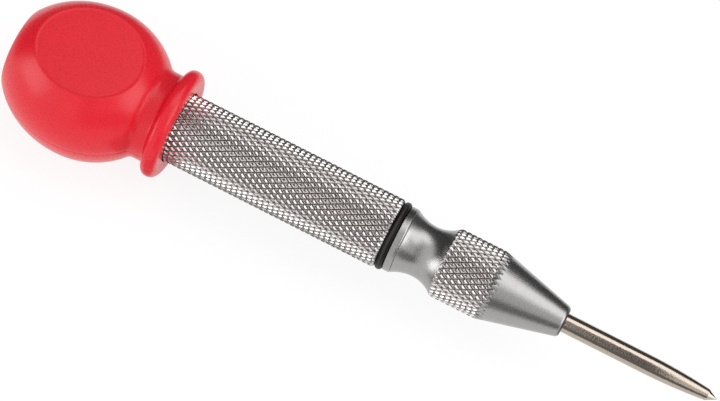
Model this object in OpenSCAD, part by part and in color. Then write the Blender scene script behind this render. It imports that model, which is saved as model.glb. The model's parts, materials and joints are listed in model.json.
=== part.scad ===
// Automatic center punch with a moulded palm cap.
// The tool lies along X with its point towards +X, on one flat of the cap.
// Every module is drawn standing on the tip: z runs from the tip to the cap.

/* [Point] */
// Diameter of the point's shank
point_d = 3.8; // [3:0.1:4.6]
// How far the point stands out of the nose
point_reach = 31.5; // [24:0.5:40]
// Included angle of the conical tip
tip_angle = 60; // [45:1:90]
// Diameter at which the conical tip begins
tip_d = 2.3; // [1:0.1:2.8]
// Length of the rounded taper behind the conical tip
ogive_length = 13; // [6:0.5:18]
// Height by which the stretch guided in the nose stands above the shank
guide_step = 0.2; // [0.16:0.01:0.25]
// Diameter of the collar that stops the point inside the nose
stop_d = 7; // [6:0.1:7.2]
// Thickness of that collar
stop_t = 3.2; // [2:0.1:5]
// Depth of the socket for the drive pin
socket_depth = 5.8; // [3:0.1:9]
// Distance that the point is pressed in before the hammer trips
press_travel = 8; // [5:0.5:9]

/* [Nose] */
// Diameter over the knurled band
nose_d = 14; // [12.6:0.1:15]
// Length of the knurled band
band_length = 9.4; // [6:0.1:14]
// Length of the cone in front of the band
cone_length = 15.6; // [10:0.1:22]
// Diameter of the small end of the cone
cone_end_d = 6.5; // [5.8:0.1:9]
// Radius of the rounded end of the cone
cone_round = 1; // [0.3:0.1:1]
// Length of the waist
waist_length = 8.2; // [6:0.1:11]
// Distance from the band to the narrowest place of the waist
waist_place = 4.3; // [3:0.1:5.5]
// Smallest diameter of the waist
waist_d = 10.4; // [9:0.1:11.5]
// Diameter of the flange behind the waist
flange_d = 13.1; // [12.2:0.1:14]
// Width of that flange
flange_w = 1.9; // [1:0.1:4]
// Bevel on the edges of the band and the flange
nose_bevel = 0.15; // [0.05:0.05:0.4]
// Length of the bore that guides the point
guide_length = 13.5; // [8:0.1:18]
// Length of the spigot that screws into the barrel
spigot_length = 8.2; // [5:0.1:12]
// Diameter of that spigot
spigot_d = 11.5; // [10.8:0.1:12]

/* [Sealing ring] */
// Diameter over the ring
ring_d = 13.9; // [13:0.1:14.4]
// Width of the groove between nose and barrel
groove_w = 1.6; // [1:0.1:2.4]

/* [Barrel] */
// Diameter over the knurled grip
barrel_d = 14; // [13.4:0.1:15]
// Length of grip between the sealing ring and the cap
grip_length = 44.6; // [36:0.2:60]
// Bevel on the front edge of the barrel
barrel_bevel = 0.4; // [0.1:0.1:0.8]
// Depth by which the land under the cap lies below the grip
land_depth = 0.3; // [0.2:0.05:0.6]
// Length of the trip cone between the two bores
trip_length = 1; // [0.5:0.1:2]
// Diameter of the thread behind the grip
neck_d = 11.2; // [10.6:0.1:11.6]

/* [Guide bush] */
// Thickness of the bush behind the return spring
bush_t = 2.5; // [1.5:0.1:4]

/* [Drive pin] */
// Diameter of the pin inside the return spring
pin_d = 3.2; // [2.6:0.1:3.6]
// Diameter of the spigot in the point's socket
pin_spigot_d = 2; // [1.4:0.1:2.4]
// Diameter of the anvil head
head_d = 6.4; // [5:0.1:8]
// Thickness of the anvil head
head_t = 2.7; // [1.5:0.1:4]
// Gap between the guide bush and the anvil head
head_gap = 1.4; // [0.5:0.1:3]
// Diameter of the thin end that pushes the sear
trip_pin_d = 2.5; // [2:0.1:2.6]

/* [Hammer] */
// Diameter of the hammer
hammer_d = 9.3; // [8.9:0.1:9.6]
// Length of the hammer
hammer_length = 20.5; // [17:0.1:26]
// Free flight of the hammer beyond the travel of the point
blow_gap = 0.5; // [0.2:0.1:2]
// Thickness of the hammer in front of the sear
hammer_lip = 2.5; // [1.5:0.1:4]
// Diameter of the hole that takes the thin end of the drive pin
hammer_hole_d = 3; // [2.8:0.1:3.4]
// Length of the stubs that centre the main spring
stub_length = 3; // [1.5:0.1:4]

/* [Sear] */
// Width of the sear
sear_w = 4.6; // [3.8:0.1:5]
// Thickness of the sear along the tool
sear_t = 3.2; // [2:0.1:4]
// Sideways travel of the sear
sear_shift = 0.55; // [0.3:0.05:0.6]
// Length of the sear from the axis to its inner end
sear_back = 1.6; // [1.5:0.1:1.8]
// Length of the slot from the axis to its blind end
slot_back = 3.5; // [3.2:0.1:3.6]
// Bevel on the end of the sear that meets the trip cone
sear_bevel = 0.6; // [0.2:0.1:1]

/* [Springs] */
// Wire of the main spring
main_wire = 1.3; // [0.8:0.1:1.4]
// Coils of the main spring
main_coils = 8; // [5:1:9]
// Wire of the return spring
return_wire = 0.7; // [0.4:0.1:0.8]
// Coils of the return spring
return_coils = 14; // [8:1:18]
// Wire of the sear's spring
sear_wire = 0.25; // [0.15:0.05:0.3]
// Mean diameter of the sear's spring
sear_spring_d = 1.8; // [1.2:0.1:2.4]
// Coils of the sear's spring
sear_coils = 2; // [1:1:2]

/* [Adjusting cap] */
// Height of the step that holds the metal cap in the palm cap
screw_lip = 0.25; // [0.1:0.05:0.8]
// Depth of its threaded hole
screw_depth = 14.5; // [10:0.1:18]
// Thickness of its closed end
screw_end = 3; // [2:0.1:5]
// Travel of the cap to either side of its middle setting
cap_travel = 2; // [0.5:0.1:2.4]
// Distance from the front of the palm cap to the floor of the threaded hole
floor_place = 25.2; // [23:0.1:27]
// Thickness of the spring seat
seat_t = 2; // [1:0.1:3]

/* [Palm cap] */
// Length of the palm cap
cap_length = 34.4; // [32:0.1:40]
// Diameter of the ball
ball_d = 30; // [27:0.1:34]
// Distance from the ball's middle to where its oval would close
ball_rear = 17.5; // [15:0.1:19]
// Diameter of the flat end
end_d = 15.2; // [8:0.1:20]
// Distance across the two flats
flat_gap = 23.3; // [22.8:0.1:26]
// Width of the lip round each flat
lip_w = 0.4; // [0.3:0.1:1.5]
// Depth of the flats inside their lips
dish_depth = 0.3; // [0.2:0.1:1]
// Diameter of the collar
collar_d = 22.2; // [20:0.1:22.7]
// Width of the collar
collar_w = 3.1; // [3:0.1:5]
// Rounding of the collar's front edge
collar_front_round = 1.6; // [0.5:0.1:1.6]
// Rounding of the collar's rear edge
collar_rear_round = 1.2; // [0.5:0.1:1.4]
// Rounding of the groove between collar and ball
neck_round = 0.85; // [0.4:0.05:1.2]
// Width of that groove's floor
neck_w = 2.4; // [0.2:0.1:3]

/* [Clearances] */
// Gap round a piece that slides or turns in a bore
slide_gap = 0.05; // [0.03:0.01:0.1]
// Gap round the hammer and the end of the sear
hammer_gap = 0.1; // [0.06:0.01:0.2]
// Gap round the point's collar and the spring seat
loose_gap = 0.15; // [0.1:0.05:0.3]
// Gap between a coil spring and the bore or stub beside it
coil_gap = 0.4; // [0.2:0.1:0.6]
// Gap in the screwed joints
thread_gap = 0.05; // [0.03:0.01:0.1]
// Gap between the palm cap and the grip
cap_gap = 0.15; // [0.1:0.05:0.3]
// Gap between the ends of a spring and its seats
spring_gap = 0.03; // [0.01:0.01:0.1]
// Gap past the end of a travel
end_gap = 0.3; // [0.1:0.1:0.5]

/* [Hidden] */
$fn = 96;
arc_steps = 10;
oval_steps = 24;
flat_steps = 64;
wire_sides = 6;
coil_rings = 8;
past = 1;
steel = [0.76, 0.76, 0.78];
nickel = [0.72, 0.68, 0.62];
dark_steel = [0.42, 0.43, 0.46];
brass = [0.78, 0.63, 0.32];
spring_steel = [0.55, 0.56, 0.6];
black = [0.09, 0.09, 0.1];
red = [0.86, 0.16, 0.2];

// Places along the tool, measured from the tip
z_nose = point_reach;
z_step = z_nose + guide_length;
z_stop = z_step + stop_t;
z_band = z_nose + cone_length;
z_waist = z_band + band_length;
z_flange = z_waist + waist_length;
z_groove = z_flange + flange_w;
z_barrel = z_groove + groove_w;
z_nose_end = z_barrel + spigot_length;
z_ledge = z_nose_end + bush_t;
z_head = z_ledge + head_gap;
z_anvil = z_head + head_t;
z_hammer = z_anvil + press_travel + blow_gap;
z_sear = z_hammer + hammer_lip;
z_sear_top = z_sear + sear_t;
z_trip = z_sear_top + press_travel + end_gap;
z_tail = z_hammer + hammer_length;
z_cap = z_barrel + grip_length;
z_floor = z_cap + floor_place;
z_seat = z_floor - seat_t;
z_screw = z_floor - screw_depth;
z_shoulder = z_screw - cap_travel - end_gap;
z_neck_end = z_seat - cap_travel;
z_end = z_cap + cap_length;
z_ball = z_end - ball_rear * cos(asin(end_d / ball_d));

// Radii and depths that follow from the sizes above
point_r = point_d / 2;
guide_d = point_d + 2 * guide_step;
tip_h = tip_d / 2 / tan(tip_angle / 2);
ogive_drop = point_r - tip_d / 2;
ogive_r = (ogive_length ^ 2 + ogive_drop ^ 2) / (2 * ogive_drop);
groove_floor_d = ring_d - 2 * groove_w;
ring_wire = groove_w - 2 * spring_gap;
counterbore_d = spigot_d + 2 * thread_gap;
chamber_d = stop_d + 2 * loose_gap;
hammer_bore_d = hammer_d + 2 * hammer_gap;
bore_d = hammer_bore_d + 2 * sear_shift;
return_d = chamber_d - 2 * coil_gap - return_wire;
main_d = hammer_bore_d - 2 * coil_gap - main_wire;
stub_d = main_d - main_wire - 2 * coil_gap;
seat_d = hammer_bore_d - 2 * loose_gap;
screw_d = barrel_d + 2 * cap_gap + 2 * screw_lip;
hole_depth = hammer_lip + press_travel + blow_gap + end_gap;
sear_front = bore_d / 2 - hammer_gap;
sear_middle = z_sear + sear_t / 2;
collar_r = collar_d / 2;
neck_r = collar_r - collar_rear_round - neck_round;
ball_start = asin(neck_r / (ball_d / 2));
ball_stop = 180 - asin(end_d / ball_d);
ball_front = (z_ball - z_cap - collar_w - neck_round - neck_w) / cos(ball_start);
flat_ratio = sqrt(1 - (flat_gap / ball_d) ^ 2);
axis_height = flat_gap / 2;

// Points of an arc about the centre c, from one angle to another
function arc(c, r, from, to) = [
    for (i = [0 : arc_steps])
        let (a = from + (to - from) * i / arc_steps)
        [c.x + r * cos(a), c.y + r * sin(a)]
];

// Points of an oval's arc about the centre c, its angles counted from the second half axis
function oval_arc(c, across, along, from, to) = [
    for (i = [0 : oval_steps])
        let (t = from + (to - from) * i / oval_steps)
        [c.x + across * sin(t), c.y + along * cos(t)]
];

// Radius of the arc that leaves a line at a tangent and drops aside over a run
function tangent_radius(run, drop) = (run ^ 2 + drop ^ 2) / (2 * drop);

// Middle line of a coil spring that stands on z = 0
function coil_line(d, wire, height, coils) =
    let (rise = height - wire, rings = coils * coil_rings)
    [for (i = [0 : rings]) [i * 360 / coil_rings, d / 2, wire / 2 + rise * i / rings]];

// A point of the wire's surface, beside a point of the middle line
function wire_point(p, wire, side) =
    let (turn = 360 * side / wire_sides, r = p[1] + wire / 2 * cos(turn))
    [r * cos(p[0]), r * sin(p[0]), p[2] + wire / 2 * sin(turn)];

// Least gap between one curl of a spring and the next
function least_gap(line, wire) = min([
    for (i = [0 : len(line) - coil_rings - 1])
        let (p = line[i], q = line[i + coil_rings])
        norm(wire_point(p, 0, 0) - wire_point(q, 0, 0)) - wire
]);

// Lay the tool on its flat, point forward, with the origin under its middle
module laid() {
    translate([z_end / 2, 0, axis_height]) rotate([0, -90, 0]) children();
}

// A round piece turned from points given as radius and height
module turned(points) {
    rotate_extrude() polygon(points);
}

// A straight hole or pin between two heights
module round_run(d, from, to) {
    translate([0, 0, from]) cylinder(d = d, h = to - from);
}

// One unbroken wire wound into a coil spring
module coil_spring(d, wire, height, coils) {
    line = coil_line(d, wire, height, coils);
    last = len(line) - 1;
    points = [for (p = line, s = [0 : wire_sides - 1]) wire_point(p, wire, s)];
    skin = [
        for (i = [0 : last - 1], s = [0 : wire_sides - 1])
            let (t = (s + 1) % wire_sides, a = i * wire_sides, b = a + wire_sides)
            each [[a + s, a + t, b + t], [a + s, b + t, b + s]]
    ];
    first_end = [for (s = [1 : wire_sides - 2]) [0, s + 1, s]];
    last_end = [for (s = [1 : wire_sides - 2]) [for (k = [0, s, s + 1]) last * wire_sides + k]];
    echo(least_gap_between_curls = least_gap(line, wire));
    polyhedron(points, concat(skin, first_end, last_end));
}

module palm_cap() {
    front = arc([collar_r - collar_front_round, z_cap + collar_front_round], collar_front_round, -90, 0);
    rear_z = z_cap + collar_w;
    rear = arc([collar_r - collar_rear_round, rear_z - collar_rear_round], collar_rear_round, 0, 90);
    groove = arc([neck_r + neck_round, rear_z + neck_round], neck_round, -90, -180);
    ball_to_middle = oval_arc([0, z_ball], ball_d / 2, -ball_front, ball_start, 90);
    ball_to_end = oval_arc([0, z_ball], ball_d / 2, -ball_rear, 90, ball_stop);
    color(red) laid() difference() {
        intersection() {
            turned(concat([[0, z_cap]], front, rear, groove, ball_to_middle, ball_to_end, [[0, z_end]]));
            translate([-flat_gap / 2, -ball_d, z_cap - past])
                cube([flat_gap, 2 * ball_d, cap_length + 2 * past]);
        }
        for (side = [-1, 1])
            translate([side * (flat_gap / 2 - dish_depth), 0, z_ball]) rotate([0, 90 * side, 0])
                linear_extrude(dish_depth + past) polygon(flat_oval(side));
        round_run(barrel_d + 2 * cap_gap, z_cap - past, z_screw);
        round_run(screw_d, z_screw, z_floor + screw_end);
    }
}

// Outline of the dished flat inside its lip, an oval with unlike ends
function flat_oval(side) = [
    for (i = [0 : flat_steps - 1])
        let (t = 360 * i / flat_steps, reach = cos(t) * side > 0 ? ball_front : ball_rear)
        [(reach * flat_ratio - lip_w) * cos(t), (ball_d / 2 * flat_ratio - lip_w) * sin(t)]
];

module adjusting_cap() {
    color(steel) laid() difference() {
        round_run(screw_d, z_screw, z_floor + screw_end);
        round_run(neck_d + 2 * thread_gap, z_screw - past, z_floor);
    }
}

module spring_seat() {
    color(dark_steel) laid() {
        round_run(seat_d, z_seat, z_floor);
        round_run(stub_d, z_seat - stub_length, z_seat);
    }
}

module main_spring() {
    color(spring_steel) laid() translate([0, 0, z_tail + spring_gap])
        coil_spring(main_d, main_wire, z_seat - z_tail - 2 * spring_gap, main_coils);
}

module hammer() {
    slot_w = sear_w + 2 * slide_gap;
    color(dark_steel) laid() difference() {
        union() {
            round_run(hammer_d, z_hammer, z_tail);
            round_run(stub_d, z_tail, z_tail + stub_length);
        }
        round_run(hammer_hole_d, z_hammer - past, z_hammer + hole_depth);
        translate([-slot_back, -slot_w / 2, z_sear - slide_gap])
            cube([slot_back + hammer_d, slot_w, sear_t + 2 * slide_gap]);
    }
}

module sear_block() {
    trip_hole_d = trip_pin_d + 4 * slide_gap;
    color(brass) laid() difference() {
        intersection() {
            translate([-sear_back, -sear_w / 2, z_sear]) cube([sear_back + bore_d, sear_w, sear_t]);
            turned([
                [0, z_sear - past], [sear_front, z_sear - past], [sear_front, z_sear_top - sear_bevel],
                [sear_front - sear_bevel, z_sear_top], [sear_front - sear_bevel, z_sear_top + past],
                [0, z_sear_top + past]
            ]);
        }
        translate([sear_shift, 0, 0]) round_run(trip_hole_d, z_sear - past, z_sear_top + past);
    }
}

module sear_spring() {
    color(spring_steel) laid() translate([spring_gap - slot_back, 0, sear_middle]) rotate([0, 90, 0])
        coil_spring(sear_spring_d, sear_wire, slot_back - sear_back - 2 * spring_gap, sear_coils);
}

module drive_pin() {
    color(dark_steel) laid() {
        round_run(pin_spigot_d, z_stop - socket_depth, z_stop);
        round_run(pin_d, z_stop, z_head);
        round_run(head_d, z_head, z_anvil);
        round_run(trip_pin_d, z_anvil, z_sear);
    }
}

module guide_bush() {
    color(brass) laid() difference() {
        round_run(spigot_d, z_nose_end, z_ledge);
        round_run(pin_d + 2 * slide_gap, z_nose_end - past, z_ledge + past);
    }
}

module return_spring() {
    color(spring_steel) laid() translate([0, 0, z_stop + spring_gap])
        coil_spring(return_d, return_wire, z_nose_end - z_stop - 2 * spring_gap, return_coils);
}

module punch_point() {
    sweep = asin(ogive_length / ogive_r);
    ogive = arc([point_r - ogive_r, tip_h + ogive_length], ogive_r, -sweep, 0);
    color(nickel) laid() difference() {
        union() {
            turned(concat([[0, 0]], ogive, [[point_r, z_nose], [0, z_nose]]));
            round_run(guide_d, z_nose, z_stop);
            round_run(stop_d, z_step, z_stop);
        }
        round_run(pin_spigot_d, z_stop - socket_depth, z_stop + past);
    }
}

module nose_piece() {
    end_r = cone_end_d / 2;
    slope = atan((nose_d / 2 - end_r) / cone_length);
    round_c = [end_r - cone_round, z_nose + cone_round];
    waist_r = waist_d / 2;
    band_drop = nose_d / 2 - nose_bevel - waist_r;
    flange_drop = flange_d / 2 - waist_r;
    band_arc = tangent_radius(waist_place, band_drop);
    flange_arc = tangent_radius(waist_length - waist_place, flange_drop);
    z_narrow = z_waist + waist_place;
    color(steel) laid() difference() {
        turned(concat(
            [[0, z_nose]],
            arc(round_c, cone_round, -90, -slope),
            [[nose_d / 2, z_band], [nose_d / 2, z_waist - nose_bevel]],
            arc([waist_r + band_arc, z_narrow], band_arc, 180 + asin(waist_place / band_arc), 180),
            arc([waist_r + flange_arc, z_narrow], flange_arc, 180,
                180 - asin((waist_length - waist_place) / flange_arc)),
            [
                [flange_d / 2, z_groove - nose_bevel], [flange_d / 2 - nose_bevel, z_groove],
                [groove_floor_d / 2, z_groove], [groove_floor_d / 2, z_barrel],
                [spigot_d / 2, z_barrel], [spigot_d / 2, z_nose_end], [0, z_nose_end]
            ]
        ));
        round_run(guide_d + 2 * slide_gap, z_nose - past, z_step + past);
        round_run(chamber_d, z_step, z_nose_end + past);
    }
}

module o_ring() {
    color(black) laid() translate([0, 0, (z_groove + z_barrel) / 2])
        rotate_extrude() translate([(ring_d - ring_wire) / 2, 0]) circle(d = ring_wire);
}

module barrel() {
    grip_r = barrel_d / 2;
    land_r = grip_r - land_depth;
    color(steel) laid() difference() {
        turned([
            [0, z_barrel], [grip_r - barrel_bevel, z_barrel], [grip_r, z_barrel + barrel_bevel],
            [grip_r, z_cap], [land_r, z_cap], [land_r, z_shoulder],
            [neck_d / 2, z_shoulder], [neck_d / 2, z_neck_end], [0, z_neck_end]
        ]);
        round_run(counterbore_d, z_barrel - past, z_ledge);
        turned([
            [0, z_ledge - past], [bore_d / 2, z_ledge - past], [bore_d / 2, z_trip],
            [hammer_bore_d / 2, z_trip + trip_length], [hammer_bore_d / 2, z_neck_end + past],
            [0, z_neck_end + past]
        ]);
    }
}

palm_cap();
adjusting_cap();
spring_seat();
main_spring();
hammer();
sear_block();
sear_spring();
drive_pin();
guide_bush();
return_spring();
punch_point();
nose_piece();
o_ring();
barrel();
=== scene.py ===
"""Looks, light and camera of an automatic center punch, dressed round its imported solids.

Sizes in the classes are in millimetres. A place is a distance from the tip, measured along the tool.
Meshes are made in metres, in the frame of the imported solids: +X to the tip, +Z square to the cap's flats.
"""

from __future__ import annotations

import json
import logging
import math
from dataclasses import dataclass, field
from enum import Enum
from typing import Any, Callable, NamedTuple, Optional, Sequence, Union

import bmesh
import bpy
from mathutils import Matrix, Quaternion, Vector

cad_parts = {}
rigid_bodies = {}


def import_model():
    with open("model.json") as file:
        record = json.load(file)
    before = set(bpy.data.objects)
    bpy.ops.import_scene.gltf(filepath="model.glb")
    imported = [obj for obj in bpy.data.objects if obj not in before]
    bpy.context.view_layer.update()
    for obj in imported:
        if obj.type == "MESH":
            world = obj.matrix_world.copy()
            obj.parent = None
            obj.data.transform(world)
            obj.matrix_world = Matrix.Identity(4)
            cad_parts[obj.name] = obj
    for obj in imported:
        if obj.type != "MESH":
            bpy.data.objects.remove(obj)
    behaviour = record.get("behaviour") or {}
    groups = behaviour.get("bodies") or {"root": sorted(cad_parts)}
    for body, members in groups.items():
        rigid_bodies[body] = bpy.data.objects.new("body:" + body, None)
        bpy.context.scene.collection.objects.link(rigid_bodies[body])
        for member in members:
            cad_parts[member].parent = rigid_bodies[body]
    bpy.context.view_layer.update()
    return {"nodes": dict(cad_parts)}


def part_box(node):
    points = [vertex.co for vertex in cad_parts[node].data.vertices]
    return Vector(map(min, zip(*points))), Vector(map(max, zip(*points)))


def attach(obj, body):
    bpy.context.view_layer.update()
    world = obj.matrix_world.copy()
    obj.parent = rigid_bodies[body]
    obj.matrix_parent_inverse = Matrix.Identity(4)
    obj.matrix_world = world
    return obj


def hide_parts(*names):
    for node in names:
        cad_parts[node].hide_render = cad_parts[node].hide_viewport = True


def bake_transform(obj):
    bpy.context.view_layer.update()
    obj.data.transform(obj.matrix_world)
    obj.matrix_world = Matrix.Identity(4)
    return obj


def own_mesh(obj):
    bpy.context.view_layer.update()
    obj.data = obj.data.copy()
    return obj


MM = 0.001
PHOTO_WIDTH = 720
SENSOR_WIDTH = 36.0
MERGE_DISTANCE = 1e-7
SHARP_ANGLE = 30.0

log = logging.getLogger("center_punch")

Colour = tuple[float, float, float]
Point = tuple[float, float]
Face = Sequence[int]
Value = Union["Wire", float]
Material = bpy.types.Material
Thing = bpy.types.Object


class Slot(Enum):
    """The record's material slots."""

    CAP = "red_cap"
    STEEL = "turned_steel"
    HARD = "hardened_steel"
    SPRING = "spring_wire"
    BRASS = "brass"
    NICKEL = "nickel_point"
    RUBBER = "black_rubber"


class Body(Enum):
    """The bodies that new pieces move with."""

    BARREL = "barrel"
    POINT = "point"
    HAMMER = "hammer"
    FOLLOWER = "follower"
    CAP = "cap"


class Ray(Enum):
    """The kinds of ray that see the studio as bright as the photo's ground."""

    CAMERA = "Is Camera Ray"
    GLOSSY = "Is Glossy Ray"
    TRANSMISSION = "Is Transmission Ray"


# Shader expressions


def math_node(operation: str, reflected: bool = False) -> Callable[[Wire, Value], Wire]:
    """Make an operator of wires that adds one Math node.

    Args:
        operation: The node's operation.
        reflected: Whether the wire is the second input.

    Returns:
        The operator.
    """

    def join(wire: Wire, other: Value) -> Wire:
        """The node's result for a wire and another value."""
        first, second = (other, wire) if reflected else (wire, other)
        return wire.shader.node("ShaderNodeMath", {"operation": operation}, {0: first, 1: second})

    return join


class Wire:
    """A value on its way through a node tree, open to plain arithmetic."""

    def __init__(self, shader: Shader, socket: bpy.types.NodeSocket) -> None:
        """Keep the tree and the socket that the value comes out of."""
        self.shader = shader
        self.socket = socket

    __add__, __radd__ = math_node("ADD"), math_node("ADD", True)
    __sub__, __rsub__ = math_node("SUBTRACT"), math_node("SUBTRACT", True)
    __mul__, __rmul__ = math_node("MULTIPLY"), math_node("MULTIPLY", True)
    __truediv__, __rtruediv__ = math_node("DIVIDE"), math_node("DIVIDE", True)
    __pow__, __rpow__ = math_node("POWER"), math_node("POWER", True)
    at_most, at_least = math_node("MINIMUM"), math_node("MAXIMUM")

    def clamped(self) -> Wire:
        """This, kept between none and one."""
        return self.at_least(0.0).at_most(1.0)

    def about(self, value: float, run: float) -> Wire:
        """A value that this noise moves by half a run to either side."""
        return value - run / 2 + self * run


class Shader:
    """A node tree that is written as expressions."""

    def __init__(self, tree: bpy.types.NodeTree) -> None:
        """Empty the tree."""
        self.tree = tree
        tree.nodes.clear()

    @staticmethod
    def _pick(sockets: bpy.types.bpy_prop_collection, key: Union[int, str]) -> bpy.types.NodeSocket:
        """Find a socket by its number, or by its name among those in use."""
        return sockets[key] if isinstance(key, int) else next(s for s in sockets if s.name == key and s.enabled)

    def node(
        self,
        kind: str,
        settings: Optional[dict[str, Any]] = None,
        inputs: Optional[dict[Union[int, str], Any]] = None,
        out: Union[int, str] = 0,
    ) -> Wire:
        """Add any node.

        Args:
            kind: The node's type.
            settings: Its settings, set first.
            inputs: Values or links of its sockets, by number or name.
            out: Number or name of the output to hand back.

        Returns:
            The chosen output.
        """
        made = self.tree.nodes.new(kind)
        for key, value in (settings or {}).items():
            setattr(made, key, value)
        for key, value in (inputs or {}).items():
            socket = self._pick(made.inputs, key)
            if isinstance(value, Wire):
                self.tree.links.new(value.socket, socket)
            else:
                socket.default_value = value
        return Wire(self, self._pick(made.outputs, out)) if made.outputs else Wire(self, None)

    def object_point(self) -> Wire:
        """Place on the object, in metres."""
        return self.node("ShaderNodeTexCoord", out="Object")

    def distance(self, axis: Axis) -> Wire:
        """Measure from the tool's axis.

        Args:
            axis: The axis.

        Returns:
            The distance in metres.
        """
        point = self.object_point()
        y, z = (self.node("ShaderNodeSeparateXYZ", {}, {0: point}, part) for part in "YZ")
        rise = z - axis.height
        return (y * y + rise * rise) ** 0.5

    def noise(self, scale: float, detail: float = 2.0, roughness: float = 0.5) -> Wire:
        """Cloudy noise round one half, by its features per metre, its finer layers and their weight."""
        inputs = {"Vector": self.object_point(), "Scale": scale, "Detail": detail, "Roughness": roughness}
        return self.node("ShaderNodeTexNoise", {}, inputs, "Fac")

    def line_noise(self, along: Wire, scale: float) -> Wire:
        """Noise round one half along one coordinate only, as the lines per metre that a lathe tool leaves."""
        inputs = {"W": along * scale, "Scale": 1.0, "Detail": 2.0}
        return self.node("ShaderNodeTexNoise", {"noise_dimensions": "1D"}, inputs, "Fac")

    def blend(self, share: Value, first: Any, second: Any) -> Wire:
        """Mix two colours.

        Args:
            share: How much of the second there is.
            first: A colour or a link.
            second: A colour or a link.

        Returns:
            The mixed colour.
        """
        colours = [c if isinstance(c, Wire) else (*c, 1.0) for c in (first, second)]
        inputs = {"Factor": share, "A": colours[0], "B": colours[1]}
        return self.node("ShaderNodeMix", {"data_type": "RGBA"}, inputs, "Result")

    def bump(self, height: Wire, depth: float) -> Wire:
        """The normal of a height, times a depth in millimetres."""
        inputs = {"Height": height, "Distance": depth * MM, "Strength": 1.0}
        return self.node("ShaderNodeBump", {}, inputs, "Normal")

    def sees_ground(self) -> Wire:
        """One for rays that show the studio itself, none for those that only light the tool."""
        rays = [self.node("ShaderNodeLightPath", out=ray.value) for ray in Ray]
        return (rays[0] + rays[1] + rays[2]).at_most(1.0)

    def surface(self, shader: Wire, output: str = "ShaderNodeOutputMaterial") -> None:
        """Send a finished shader to the tree's output."""
        self.node(output, {}, {"Surface": shader})

    def principled(self, inputs: dict[str, Any]) -> None:
        """Make the Principled shader the material's surface."""
        self.surface(self.node("ShaderNodeBsdfPrincipled", {}, inputs))


def new_material(name: str) -> tuple[Material, Shader]:
    """Start an empty material.

    Args:
        name: Name of the material.

    Returns:
        The material and its tree.
    """
    material = bpy.data.materials.new(name)
    material.use_nodes = True
    return material, Shader(material.node_tree)


# Finishes

# Detail and roughness of the noise that a fine grain and a cloudy colour have
GRAIN = (2.0, 0.6)
CLOUD = (3.0, 0.55)


@dataclass(frozen=True)
class MouldedPlastic:
    """Satin moulded plastic with a fine grain."""

    name: str
    colour: Colour
    pale: Colour
    roughness: float = 0.28
    specular: float = 0.42
    grain_scale: float = 4200.0
    grain_depth: float = 0.006
    grain_share: float = 1.6
    cloud_scale: float = 110.0
    cloud_share: float = 0.4
    bias: float = 0.5
    roughness_run: float = 0.12

    def make(self, axis: Axis) -> Material:
        """Build the material.

        Args:
            axis: The tool's axis; not used.

        Returns:
            The material.
        """
        material, tree = new_material(self.name)
        grain = tree.noise(self.grain_scale, *GRAIN)
        cloud = tree.noise(self.cloud_scale, *CLOUD)
        share = cloud * self.cloud_share + grain * self.grain_share - self.bias
        tree.principled(
            {
                "Base Color": tree.blend(share, self.colour, self.pale),
                "Roughness": grain.about(self.roughness, self.roughness_run),
                "Specular IOR Level": self.specular,
                "Normal": tree.bump(grain, self.grain_depth),
            }
        )
        return material


@dataclass(frozen=True)
class KnurlShadingAndDirt:
    """Painted light on a knurl: crests painted darker as shade, flanks painted brighter as a highlight, and grooves
    darkened with painted shade and dirt.

    The grooves lie below a section that falls off at both ends.
    """

    crest: float
    start: float
    front_slope: float
    end: float
    rear_slope: float
    # Crests painted darker as shade, flanks painted brighter as a highlight
    painted_crest_shade: Colour = (0.15, 0.14, 0.135)
    painted_flank_highlight: Colour = (0.82, 0.779, 0.766)
    # Groove colour: painted shade and dirt
    colour: Colour = (0.06, 0.052, 0.048)
    roughness: float = 0.4
    top: float = 0.1
    skin: float = 0.24
    depth: float = 0.42
    edge: float = 0.3

    def knurl_share(self, place: Wire) -> Wire:
        """One on the knurl, none outside it, by the distance from the tip in millimetres."""
        return ((place - self.start).at_most(self.end - place) / self.edge + 1.0).clamped()

    def crown(self, radius: Wire) -> Wire:
        """One on the crests, which get painted shade, none on the flanks, which get a painted highlight, by the
        distance from the axis in millimetres.
        """
        return ((radius - (self.crest - self.top)) * (2.0 / self.top)).clamped()

    def clean(self, place: Wire, radius: Wire) -> Wire:
        """How far the metal is out of the grooves, which are darkened with painted shade and dirt.

        Args:
            place: Distance from the tip in millimetres.
            radius: Distance from the axis in millimetres.

        Returns:
            None in a groove, one on flanks and crests and outside the knurl.
        """
        drop = ((self.start - place) * self.front_slope).at_least((place - self.end) * self.rear_slope)
        depth = self.crest - drop.at_least(0.0) - radius
        return ((self.depth - depth) / (self.depth - self.skin)).clamped()


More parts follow.
